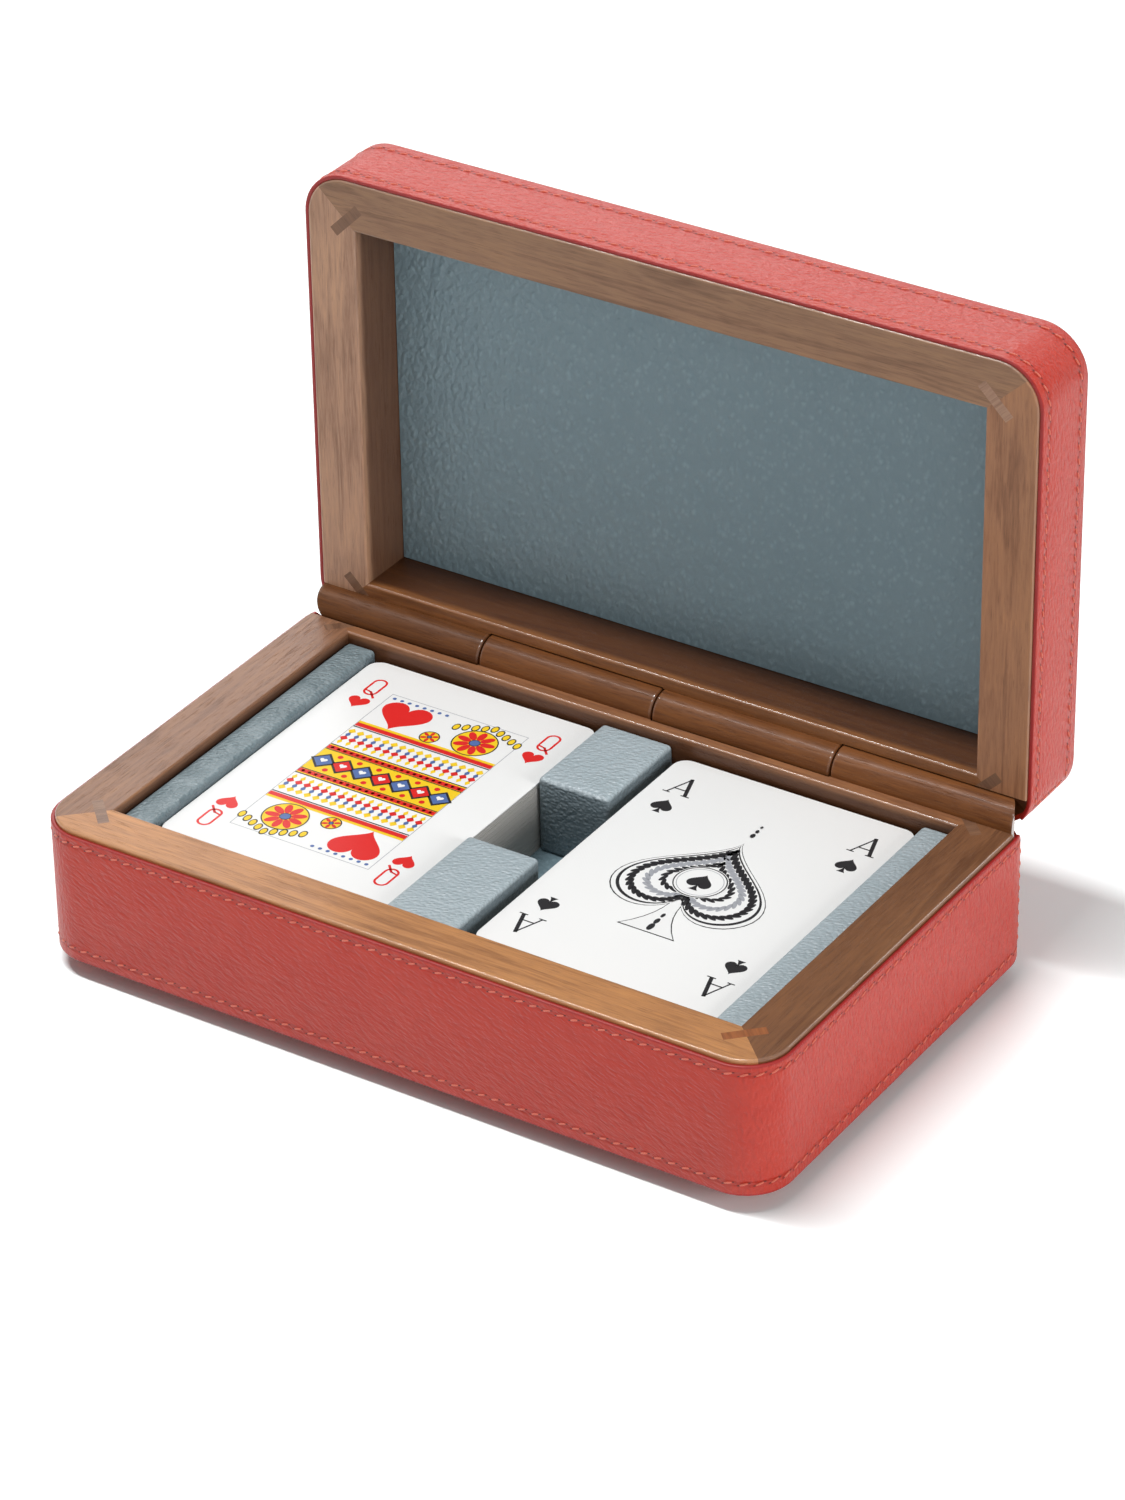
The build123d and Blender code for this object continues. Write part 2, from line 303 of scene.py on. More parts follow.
def leather(
    name,
    colour,
    deep,
    pale,
    grains,
    height,
    gloss=0.33,
    crease_shade=0.2,
    rows=(),
    rims=(),
    shade=None,
):
    """Pebbled leather, pressed in along its rows of stitches, its rims touched by edge paint, with
    painted shade in its creases, along its stitch grooves and, where told, below a height.
    """
    finish = Finish(name, Specular_IOR_Level=0.5)
    relief = pebbled(finish, *grains[0])
    if len(grains) > 1:
        sides = abs(finish.part(finish.place(), 0)).step(1000 * half_w - 12, 1000 * half_w - 4)
        relief = relief * (1.0 - sides) + pebbled(finish, *grains[1]) * sides
    broad = finish.noise(finish.place(), 7.0, 2.0)
    fine = finish.noise(finish.place(), 0.14, 3.0, 0.6)
    mottled = finish.mix(broad.step(0.3, 0.7) * 0.3, colour, pale)
    # Painted shade: the creases between pebbles are darkened towards the deep colour.
    leather_colour_and_shade = finish.mix(relief.step(0.5, 0.1) * crease_shade, mottled, deep)
    # Painted shade: below a given height the colour turns to the deep colour, as the sides of the
    # blocks and strips lie in shade.
    if shade is not None:
        axis, pale_from, deep_from = shade
        below = finish.part(finish.place(), axis).step(pale_from, deep_from)
        leather_colour_and_shade = finish.mix(below * 0.8, leather_colour_and_shade, deep)
    relief = relief + fine * 0.04
    for axis, place in rows:
        offset = abs(finish.part(finish.place(), axis) - 1000 * place)
        groove = 1.0 - offset.step(0.15, 0.95)
        relief = relief - groove * 0.5
        # Painted shade along the pressed groove of each row of stitches.
        leather_colour_and_shade = finish.mix(groove * 0.25, leather_colour_and_shade, deep)
    for axis, place in rims:
        offset = abs(finish.part(finish.place(), axis) - 1000 * place)
        # Edge paint lapped onto the face near each rim; at the bottom rim it also stands in for the
        # shade of the rounded edge.
        leather_colour_and_shade = finish.mix((offset + 0.3 * broad).step(0.85, 0.45), leather_colour_and_shade, RED_EDGE)
    finish.feed("Base Color", leather_colour_and_shade)
    finish.feed("Roughness", gloss + 0.1 * fine)
    finish.bump(relief, height)
    return finish.material


def painted_edge(name, colour):
    """The cut edge of the leather, painted and rubbed smooth."""
    finish = Finish(name, Roughness=0.42)
    streaks = finish.noise(finish.place((1, 1, 0.33)), 0.5, 3.0)
    finish.feed("Base Color", finish.mix(streaks * 0.6, colour, scaled_colour(0.6, colour)))
    finish.bump(streaks, 0.00005)
    return finish.material


def thread(name, colour):
    """Waxed thread, twisted."""
    finish = Finish(name, Roughness=0.5, Sheen_Weight=0.3)
    twist = finish.node(
        "ShaderNodeTexWave",
        {"wave_type": "BANDS", "bands_direction": "DIAGONAL"},
        {"Vector": finish.place(), "Scale": 1.1, "Distortion": 1.5},
        "Fac",
    )
    finish.feed("Base Color", finish.mix(twist * 0.35, colour, scaled_colour(0.55, colour)))
    finish.bump(twist, 0.00006)
    return finish.material


def coated_card(name, colour):
    """Linen-finished playing card."""
    finish = Finish(name, Specular_IOR_Level=0.2)
    weave = finish.node(
        "ShaderNodeTexChecker", {}, {"Vector": finish.place(), "Scale": 2.2}, "Fac"
    )
    cloud = finish.noise(finish.place(), 14.0, 3.0)
    finish.feed("Base Color", finish.mix(cloud * 0.25, colour, scaled_colour(0.97, colour)))
    finish.feed("Roughness", 0.34 + 0.06 * weave)
    finish.bump(weave, 0.000004)
    return finish.material


def ink(name, colour):
    """Printer's ink on a coated card."""
    finish = Finish(name, Roughness=0.4, Specular_IOR_Level=0.2)
    cloud = finish.noise(finish.place(), 0.5, 3.0)
    finish.feed("Base Color", finish.mix(cloud * 0.3, colour, scaled_colour(0.86, colour)))
    return finish.material


def plain_wood(name, colour):
    """Unfinished board that shows only where the case is taken apart."""
    finish = Finish(name, Roughness=0.62)
    grain = finish.noise(finish.place((12, 1, 1)), 0.7, 5.0, 0.6)
    finish.feed("Base Color", finish.mix(grain, colour, scaled_colour(0.6, colour)))
    finish.bump(grain, 0.00005)
    return finish.material


def brushed_steel(name):
    finish = Finish(name, Metallic=1.0, Roughness=0.3)
    lines = finish.noise(finish.place((20, 0.16, 0.16)), 1.0, 3.0)
    finish.feed("Base Color", finish.mix(lines, (0.55, 0.54, 0.52), (0.38, 0.37, 0.36)))
    finish.feed("Roughness", 0.24 + 0.2 * lines)
    return finish.material


def foot_rubber(name):
    finish = Finish(name, Roughness=0.72)
    specks = finish.noise(finish.place(), 0.4, 4.0)
    finish.feed("Base Color", finish.mix(specks, (0.035, 0.033, 0.032), (0.06, 0.056, 0.052)))
    finish.bump(specks, 0.00005)
    return finish.material


RED = srgb(181, 44, 26)
RED_DEEP = srgb(138, 28, 20)
RED_PALE = srgb(190, 62, 44)
RED_EDGE = srgb(158, 22, 18)
THREAD_RED = srgb(214, 104, 80)
LINING_BLUE = srgb(126, 150, 160)
LINING_DEEP = srgb(92, 112, 120)
LINING_PALE = srgb(138, 160, 168)
DIVIDER_BLUE = srgb(174, 187, 192)
DIVIDER_DEEP = srgb(98, 112, 119)
DIVIDER_PALE = srgb(190, 200, 206)
# The left strip's blue is darkened as painted shade; it is a shaded copy of the divider leather.
STRIP_BLUE_IN_SHADE = srgb(104, 120, 125)
CARD_WHITE = (0.88, 0.88, 0.87)

# Pebble size in millimetres, how far it is drawn out, how its direction is turned and its creases
FRONT_GRAIN = (0.85, (2.8, 1, 1), (0, 0.38, 0), 0.3)
SIDE_GRAIN = (0.75, (1, 1, 2.4), (0.2, 0, 0), 0.35)
PANEL_GRAIN = (1.0, (1.8, 1, 1), (0, 0, 0.4), 0.6)
LINING_GRAIN = (1.45, (1, 1, 1.4), (0, 0.3, 0), 0.6)
DIVIDER_GRAIN = (0.8, (1.5, 1, 1), (0, 0, 0.5), 0.9)

# How deep each leather's grain is, in metres
BAND_RELIEF = 0.00042
PANEL_RELIEF = 0.00022
LINING_RELIEF = 0.00048
DIVIDER_RELIEF = 0.00036

tray_rows = [(2, rim_z - STITCH_INSET), (2, foot_z + STITCH_INSET)]
lid_rows = [(1, lid_low.y + STITCH_INSET), (1, lid_high.y - STITCH_INSET)]
tray_rims = [(2, tray.leather_z), (2, foot_z)]
lid_rims = [(1, lid_low.y), (1, lid_high.y)]
reds = (RED, RED_DEEP, RED_PALE)
band_grains = [FRONT_GRAIN, SIDE_GRAIN]
band = (*reds, band_grains, BAND_RELIEF)
red_tray = leather("red leather, tray", *band, rows=tray_rows, rims=tray_rims)
red_lid = leather("red leather, lid", *band, rows=lid_rows, rims=lid_rims)
red_panel = leather("red leather, panels", *reds, [PANEL_GRAIN], PANEL_RELIEF)
red_edge = painted_edge("painted leather edge", RED_EDGE)
red_thread = thread("red thread", THREAD_RED)
# Dark patches painted as the shade inside the needle holes.
needle_hole_shade = painted_edge("needle hole", srgb(96, 20, 16))
blues = (LINING_BLUE, LINING_DEEP, LINING_PALE)
cover = ([LINING_GRAIN], LINING_RELIEF)
lining_leather = leather("blue-grey lining", *blues, *cover, gloss=0.4, crease_shade=0.4)
divider_top = 1000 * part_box("front_block_cover")[1].z
# Painted shade on the sides of the blocks and strips, from just under their tops downwards.
shade = (2, divider_top - 0.15, divider_top - 1.2)
cover = ([DIVIDER_GRAIN], DIVIDER_RELIEF)
blues = (DIVIDER_BLUE, DIVIDER_DEEP, DIVIDER_PALE)
divider_leather = leather("blue-grey divider leather", *blues, *cover, shade=shade)
# Painted shade: the left strip is a darker copy of the divider leather.
blues = (STRIP_BLUE_IN_SHADE, DIVIDER_DEEP, DIVIDER_BLUE)
strip_leather = leather("blue-grey strip leather", *blues, *cover, shade=shade)
card_paper = coated_card("coated card", CARD_WHITE)
# The cut edges are grey as painted shade; the card stock itself is white.
card_edges = coated_card("cut card edges", (0.52, 0.5, 0.47))
red_ink = ink("red ink", srgb(222, 40, 38))
black_ink = ink("black ink", srgb(44, 42, 44))
yellow_ink = ink("yellow ink", srgb(246, 206, 40))
blue_ink = ink("blue ink", srgb(86, 112, 168))
grey_ink = ink("grey ink", srgb(168, 170, 176))


# Modelling helpers


def deselect():
    if bpy.context.mode != "OBJECT":
        bpy.ops.object.mode_set(mode="OBJECT")
    bpy.ops.object.select_all(action="DESELECT")


def choose(kind, test):
    """In object mode, selects the active mesh's faces or edges whose middle passes a test."""
    mesh = bpy.context.object.data
    for group in (mesh.vertices, mesh.edges, mesh.polygons):
        group.foreach_set("select", [False] * len(group))
    if kind == "FACE":
        for face in mesh.polygons:
            face.select = test(face.center, face.normal)
    else:
        points = mesh.vertices
        for edge in mesh.edges:
            first, second = (points[index].co for index in edge.vertices)
            edge.select = test((first + second) / 2, (second - first).normalized())


def edit(kind, test, *operations):
    """Runs edit-mode operators on the chosen faces or edges."""
    bpy.ops.object.mode_set(mode="EDIT")
    bpy.ops.mesh.select_mode(type=kind)
    bpy.ops.mesh.select_all(action="DESELECT")
    bpy.ops.object.mode_set(mode="OBJECT")
    choose(kind, test)
    bpy.ops.object.mode_set(mode="EDIT")
    for operation, settings in operations:
        operation(**settings)
    bpy.ops.object.mode_set(mode="OBJECT")


def start_box(name, low, high):
    """A box between two corners, as the start of a piece."""
    deselect()
    bpy.ops.mesh.primitive_cube_add(size=1, location=(Vector(low) + Vector(high)) / 2)
    piece = bpy.context.object
    piece.name = name
    piece.scale = Vector(high) - Vector(low)
    bpy.ops.object.transform_apply(location=True, rotation=True, scale=True)
    return piece


def upright(middle, direction):
    return abs(direction.z) > 0.99


def anything(middle, direction):
    return True


def apply_modifier(piece, kind, **settings):
    modifier = piece.modifiers.new(kind.title(), kind)
    for key, value in settings.items():
        setattr(modifier, key, value)
    bpy.ops.object.modifier_apply(modifier=modifier.name)


def settle(piece, turn):
    """Turns a piece to where it rests, with its place in its mesh."""
    deselect()
    piece.matrix_world = turn @ piece.matrix_world
    piece.select_set(True)
    bpy.context.view_layer.objects.active = piece
    bpy.ops.object.transform_apply(location=True, rotation=True, scale=True)


def join(pieces, name):
    deselect()
    for piece in pieces:
        piece.select_set(True)
    bpy.context.view_layer.objects.active = pieces[0]
    bpy.ops.object.join()
    bpy.context.object.name = name
    return bpy.context.object


def hand_over(piece, material, body, slot, *nodes):
    """Gives a finished piece its material, its body and the nodes it stands for. The slot is not
    used.
    """
    if material is not None:
        piece.data.materials.clear()
        piece.data.materials.append(material)
    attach(piece, body)
    if nodes:
        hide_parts(*nodes)
    return piece


def smooth(piece, angle=35):
    deselect()
    piece.select_set(True)
    bpy.context.view_layer.objects.active = piece
    bpy.ops.object.shade_smooth_by_angle(angle=math.radians(angle))


# The red leather bands


def leather_band(half, material, node):
    """The band of leather round three sides of a half, with rounded, painted edges."""
    reach = Vector((half_w + LEATHER_T, half_d + LEATHER_T, 0))
    low_z, high_z = sorted((half.leather_z, half.far_z))
    centre = Vector((0, middle_y, 0))
    low = centre - reach + Vector((0, 0, low_z))
    high = centre + reach + Vector((0, 0, high_z))
    piece = start_box(node + "_wrap", low, high)
    round_off = {"offset": CORNER_R + LEATHER_T, "segments": 15, "profile": 0.5}
    edit("EDGE", upright, (bpy.ops.mesh.bevel, round_off))
    turn_x = half_w - CORNER_R
    turn_y = middle_y + half_d - CORNER_R
    slope = math.tan(math.radians(BAND_END))

    def open_part(middle, normal):
        behind = middle.y - turn_y > slope * (abs(middle.x) - turn_x)
        return abs(normal.z) > 0.5 or (middle.y > turn_y and behind)

    edit("FACE", open_part, (bpy.ops.mesh.delete, {"type": "FACE"}))
    if half is tray:
        trim = {"plane_co": (0, turn_y + TRIM_START, half.leather_z), "plane_no": (0, 0.7, 0.7)}
        edit("FACE", anything, (bpy.ops.mesh.bisect, {**trim, "clear_outer": True}))
    piece.data.materials.append(material)
    piece.data.materials.append(red_edge)
    skin = {"thickness": LEATHER_T, "offset": -1, "use_even_offset": True}
    apply_modifier(piece, "SOLIDIFY", material_offset_rim=1, **skin)
    apply_modifier(piece, "BEVEL", width=0.00028, segments=3, limit_method="ANGLE", angle_limit=0.9)
    settle(piece, half.turn)
    smooth(piece)
    return hand_over(piece, None, half.body, "red_leather", node)


def outline(offset, first, last):
    """Points along the rounded outline, walked clockwise between two directions in degrees."""
    points = []
    radius = CORNER_R + offset
    start = first
    while start > last:
        corner = math.floor((start - 0.001) / 90) * 90
        stop = max(corner, last)
        middle = math.radians(corner + 45)
        turn_x = math.copysign(half_w - CORNER_R, math.cos(middle))
        turn_y = middle_y + math.copysign(half_d - CORNER_R, math.sin(middle))
        steps = max(2, round((start - stop) / 5))
        for index in range(steps + 1):
            angle = math.radians(start + (stop - start) * index / steps)
            x = turn_x + radius * math.cos(angle)
            points.append(Vector((x, turn_y + radius * math.sin(angle), 0)))
        start = stop
    return points


def evenly(points, pitch, margin):
    """Places at an even pitch along a line of points, each with the line's direction there."""
    lengths = [0.0]
    for first, second in zip(points, points[1:]):
        lengths.append(lengths[-1] + (second - first).length)
    run = lengths[-1] - 2 * margin
    count = max(1, round(run / pitch))
    places = []
    index = 0
    for step in range(count):
        target = margin + run * (step + 0.5) / count
        while lengths[index + 1] < target:
            index += 1
        first, second = points[index], points[index + 1]
        share = (target - lengths[index]) / (lengths[index + 1] - lengths[index])
        places.append((first.lerp(second, share), (second - first).normalized()))
    return places


def stitch_model():
    """One stitch, drawn down at its ends, with a dark patch at each end painted as the shade of the
    hole that the needle left.
    """
    deselect()
    bpy.ops.mesh.primitive_uv_sphere_add(segments=8, ring_count=6, radius=0.5)
    piece = bpy.context.object
    bpy.ops.object.mode_set(mode="EDIT")
    bpy.ops.mesh.select_all(action="SELECT")
    quarter = {"value": math.pi / 2, "orient_axis": "Y", "center_override": (0, 0, 0)}
    bpy.ops.transform.rotate(**quarter)
    bpy.ops.transform.resize(value=(STITCH_LENGTH, STITCH_WIDTH, STITCH_WIDTH))
    bpy.ops.object.mode_set(mode="OBJECT")
    for vertex in piece.data.vertices:
        share = abs(vertex.co.x) / (STITCH_LENGTH / 2)
        vertex.co.z -= 0.45 * STITCH_WIDTH * share**3
    piece.data.materials.append(red_thread)
    holes = [piece]
    for side in (-1, 1):
        bpy.ops.mesh.primitive_uv_sphere_add(segments=8, ring_count=4, radius=0.5)
        hole = bpy.context.object
        hole.scale = (HOLE_LENGTH, HOLE_WIDTH, 0.00008)
        hole.location = (side * (STITCH_LENGTH / 2 - 0.0001), 0, 0.00001)
        bpy.ops.object.transform_apply(location=True, rotation=True, scale=True)
        hole.data.materials.append(needle_hole_shade)
        holes.append(hole)
    return join(holes, "stitch")


def stitches(name, half, places, outward):
    """A row of stitches: each place has a point, the seam's direction and the leather's normal."""
    model = stitch_model()
    copies = []
    for point, along in places:
        normal = outward(point, along)
        across = normal.cross(along)
        basis = Matrix((along, across, normal)).transposed().to_4x4()
        slant = Matrix.Rotation(math.radians(STITCH_SLANT), 4, "Z")
        copy = model.copy()
        copy.data = model.data.copy()
        copy.matrix_world = half.turn @ Matrix.Translation(point) @ basis @ slant
        bpy.context.collection.objects.link(copy)
        copies.append(copy)
    piece = join(copies, name)
    bpy.data.objects.remove(model)
    bpy.ops.object.transform_apply(location=True, rotation=True, scale=True)
    bpy.ops.object.shade_smooth()
    return piece


def sideways(point, along):
    """The outward normal of a wall whose seam is walked clockwise."""
    return Vector((-along.y, along.x, 0)).normalized()


def lifted(places, z):
    return [(Vector((point.x, point.y, z)), along) for point, along in places]


def band_stitches(half, prefix):
    """Both long rows of one half, and the rows at the ends of its band."""
    near = half.near_z + half.outward * STITCH_INSET
    far = half.far_z - half.outward * STITCH_INSET
    near_row = evenly(outline(LEATHER_T, END_ROW, -180 - END_ROW), STITCH_PITCH, 0)
    far_row = evenly(outline(LEATHER_T, BAND_END, -180 - BAND_END), STITCH_PITCH, 0.0028)
    rows = [
        stitches(prefix + "_near_stitches", half, lifted(near_row, near), sideways),
        stitches(prefix + "_far_stitches", half, lifted(far_row, far), sideways),
    ]
    turn_x = half_w - CORNER_R
    for side in (1, -1):
        direction = math.radians(END_ROW)
        normal = Vector((side * math.cos(direction), math.sin(direction), 0))
        corner = Vector((side * turn_x, middle_y + half_d - CORNER_R, 0))
        foot = corner + normal * (CORNER_R + LEATHER_T)
        ends = [foot + Vector((0, 0, near)), foot + Vector((0, 0, far))]
        places = evenly(ends, STITCH_PITCH, 0.001)
        rows.append(stitches(prefix + "_end_stitches", half, places, lambda point, along: normal))
    return rows


def back_stitches(half, prefix):
    """The row across the back panel, away from the hinge."""
    across = evenly(outline(LEATHER_T, 180 - BAND_END, BAND_END), STITCH_PITCH, 0.0028)
    far = half.far_z - half.outward * STITCH_INSET
    return [stitches(prefix + "_back_stitches", half, lifted(across, far), sideways)]


for half, material, name in ((tray, red_tray, "tray"), (lid, red_lid, "lid")):
    leather_band(half, material, name + "_leather_band")
    seams = join(band_stitches(half, name) + back_stitches(half, name), name + "_stitching")
    hand_over(seams, None, half.body, "red_leather")


# The padded dividers


def divider(name, node, material):
    """A leather-wrapped block with soft edges and a slightly crowned top."""
    low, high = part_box(node)
    piece = start_box(name, low, high)
    apply_modifier(piece, "BEVEL", width=0.0012, segments=5, limit_method="NONE")

    def top_face(middle, normal):
        return normal.z > 0.99999 and middle.z > high.z - 0.0001

    for thickness, rise in ((0.0008, 0.0001), (0.0009, 0.00007), (0.001, 0.00004)):
        edit(
            "FACE",
            top_face,
            (bpy.ops.mesh.inset, {"thickness": thickness, "use_even_offset": True}),
            (bpy.ops.transform.translate, {"value": (0, 0, rise)}),
        )
    smooth(piece, 60)
    return hand_over(piece, material, "tray", "blue_grey_leather", node)


divider("left_strip_leather", "left_strip_cover", strip_leather)
for name in ("right_strip", "front_block", "back_block"):
    divider(name + "_leather", name + "_cover", divider_leather)


# The decks of cards


def card_blank(name, low, high):
    """One card with rounded corners."""
    piece = start_box(name, low, high)
    edit("EDGE", upright, (bpy.ops.mesh.bevel, {"offset": CARD_R, "segments": 7, "profile": 0.5}))
    return piece


def card_stack(side):
    """A deck, card by card, not quite squared up."""
    low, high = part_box(side + "_card_stack")
    count = round((high.z - low.z) / CARD_PITCH)
    pitch = (high.z - low.z) / count
    model = card_blank(side + "_card", low, Vector((high.x, high.y, low.z + 0.86 * pitch)))
    scatter = random.Random(side)
    copies = [model]
    for index in range(1, count):
        copy = model.copy()
        copy.data = model.data.copy()
        jog = (scatter.uniform(-1, 1) * 0.00007, scatter.uniform(-1, 1) * 0.00012, index * pitch)
        copy.data.transform(Matrix.Translation(jog))
        bpy.context.collection.objects.link(copy)
        copies.append(copy)
    piece = join(copies, side + "_cards")
    smooth(piece)
    return hand_over(piece, card_edges, side + "_deck", "card_edges", side + "_card_stack")


def top_card(side):
    low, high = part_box(side + "_top_card")
    piece = card_blank(side + "_face_card", low, high)
    apply_modifier(piece, "BEVEL", width=0.00006, segments=2, limit_method="ANGLE", angle_limit=0.9)
    smooth(piece)
    slot = side + "_card_face"
    return hand_over(piece, card_paper, side + "_deck", slot, side + "_top_card")


class Print:
    """The motifs printed on one card, in layers of ink a hair above it."""

    def __init__(self, side):
        low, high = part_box(side + "_top_card")
        self.side = side
        self.centre = Vector(((low.x + high.x) / 2, (low.y + high.y) / 2, high.z))
        self.shapes = []
        self.layer = 1

    def add(self, piece, ink_material, x, y, angle=0.0, both_ways=False):
        """Lays a flat shape down at x and y millimetres from the middle of the card."""
        turns = (0.0, math.pi) if both_ways else (0.0,)
        for turn in turns:
            copy = piece.copy()
            copy.data = piece.data.copy()
            copy.data.materials.clear()
            copy.data.materials.append(ink_material)
            bpy.context.collection.objects.link(copy)
            place = Matrix.Translation((x / 1000, y / 1000, self.layer * INK_LIFT))
            spin = Matrix.Rotation(math.radians(angle), 4, "Z")
            whole = Matrix.Translation(self.centre) @ Matrix.Rotation(turn, 4, "Z")
            copy.data.transform(whole @ place @ spin)
            copy.matrix_world = Matrix.Identity(4)
            self.shapes.append(copy)
        bpy.data.objects.remove(piece)

    def over(self):
        self.layer += 1

    def finish(self):
        piece = join(self.shapes, self.side + "_print")
        return hand_over(piece, None, self.side + "_deck", self.side + "_card_face")


def disc(radius, corners=40, squash=1.0):
    """A flat round or many-sided patch, in millimetres."""
    deselect()
    bpy.ops.mesh.primitive_circle_add(vertices=corners, radius=radius / 1000, fill_type="NGON")
    piece = bpy.context.object
    bpy.ops.object.mode_set(mode="EDIT")
    bpy.ops.mesh.select_all(action="SELECT")
    bpy.ops.transform.resize(value=(squash, 1, 1))
    bpy.ops.object.mode_set(mode="OBJECT")
    return piece


def hollow(piece, line):
    """Leaves only the rim of a flat shape, as wide as the line, in millimetres."""
    inset = {"thickness": line / 1000, "use_even_offset": True}
    delete = {"type": "FACE"}
    edit("FACE", anything, (bpy.ops.mesh.inset, inset), (bpy.ops.mesh.delete, delete))
    return piece


def ring(radius, width, corners):
    """A flat ring, in millimetres."""
    return hollow(disc(radius, corners), width)


def bar(length, width):
    """A flat strip, in millimetres."""
    deselect()
    bpy.ops.mesh.primitive_plane_add(size=0.001)
    piece = bpy.context.object
    bpy.ops.object.mode_set(mode="EDIT")
    bpy.ops.mesh.select_all(action="SELECT")
    bpy.ops.transform.resize(value=(length, width, 1))
    bpy.ops.object.mode_set(mode="OBJECT")
    return piece


def frame_line(length, width, line):
    """A thin rectangular frame, in millimetres."""
    return hollow(bar(length, width), line)


def heart_points(count):
    """The outline of a heart one unit wide, standing on its point."""
    points = []
    for index in range(count):
        turn = 2 * math.pi * index / count
        x = 16 * math.sin(turn) ** 3
        y = 13 * math.cos(turn) - 5 * math.cos(2 * turn)
        y = y - 2 * math.cos(3 * turn) - math.cos(4 * turn)
        points.append(Vector((x / 32, (y + 2.5) / 32, 0)))
    return points


def heart(width, upside_down=False, count=60):
    """A heart pip, in millimetres."""
    piece = disc(1.0, count)
    sign = -1 if upside_down else 1
    for vertex, point in zip(piece.data.vertices, heart_points(count)):
        vertex.co = Vector((sign * point.x, sign * point.y, 0)) * (width / 1000)
    return piece


def spade_stem(width):
    """The flared foot of a spade."""
    piece = bar(0.34 * width, 0.42 * width)
    edit("EDGE", anything, (bpy.ops.mesh.subdivide, {"number_cuts": 5}))
    top = 0.21 * width / 1000
    for vertex in piece.data.vertices:
        share = max(0.0, (top - vertex.co.y) / (2 * top))
        vertex.co.x *= 0.22 + 0.95 * share**2.4
    return piece


def spade(width):
    """A spade pip, in millimetres: a heart on its head, with a foot."""
    leaf = heart(width, upside_down=True)
    foot = spade_stem(width)
    foot.data.transform(Matrix.Translation((0, -0.46 * width / 1000, 0)))
    return join([leaf, foot], "spade")


def stadium(length, width, line):
    """A thin upright outline with round ends, in millimetres."""
    piece = bar(width, length)
    round_off = {"offset": 0.499 * width / 1000, "segments": 8, "affect": "VERTICES"}
    edit("FACE", anything, (bpy.ops.mesh.bevel, round_off))
    return hollow(piece, line)


def stroke(first, second, width):
    """A straight pen stroke between two points, in millimetres."""
    first, second = Vector((*first, 0)), Vector((*second, 0))
    piece = bar((second - first).length, width)
    angle = math.atan2(second.y - first.y, second.x - first.x)
    middle = Matrix.Translation((first + second) / 2000)
    piece.data.transform(middle @ Matrix.Rotation(angle, 4, "Z"))
    return piece


def letter_q():
    """A condensed Q of thin strokes."""
    tail = [stroke((-1.4, -1.9), (0.3, -2.3), 0.5), stroke((0.1, -2.1), (2.3, -4.5), 0.6)]
    return join([stadium(7.6, 3.8, 0.56), *tail], "letter_q")


def letter_a():
    """An A with a thin and a thick leg, and serifs."""
    strokes = [
        stroke((-2.55, -3.6), (0.25, 3.7), 0.42),
        stroke((2.35, -3.6), (0.1, 3.7), 0.95),
        stroke((-1.7, -1.35), (1.6, -1.35), 0.4),
        stroke((-3.5, -3.55), (-1.6, -3.55), 0.36),
        stroke((1.3, -3.55), (3.5, -3.55), 0.36),
    ]
    return join(strokes, "letter_a")


# Where the indices stand, in millimetres from the middle of a card
CARD_HALF_W = 31.5
CARD_HALF_L = 44.0
INDEX_IN = 7.3
PIP_DOWN = 18.4
ACE_PIP_DOWN = 19.4
LETTER_DOWN = 10.6
FRAME_W = 38.0
FRAME_L = 66.0
PATTERN_W = 37.6
LOZENGE_PITCH = 5.35
BEAD_PITCH = 1.75
BRAID_PITCH = 2.36
PETAL_PITCH = 2.1


def index_corners():
    """The four corners of a card: signs across and along, and whether the index is turned."""
    return [(-1, 1, 0), (1, 1, 0), (-1, -1, 180), (1, -1, 180)]


def rosette(card, x, y, radius, petals):
    """A round flower in four inks, laid down twice about the middle of the card."""
    card.add(disc(radius, 56), yellow_ink, x, y, 0, both_ways=True)
    card.over()
    card.add(ring(radius, 0.3, 56), black_ink, x, y, 0, both_ways=True)
    for step in range(petals):
        angle = 360 / petals * step
        out = 0.57 * radius
        petal_x = x + out * math.sin(math.radians(angle))
        petal_y = y + out * math.cos(math.radians(angle))
        card.add(disc(0.33 * radius, 28, 0.5), red_ink, petal_x, petal_y, -angle, both_ways=True)
    card.over()
    card.add(disc(0.25 * radius, 30), blue_ink, x, y, 0, both_ways=True)
    card.over()
    card.add(ring(0.25 * radius, 0.2, 30), black_ink, x, y, 0, both_ways=True)


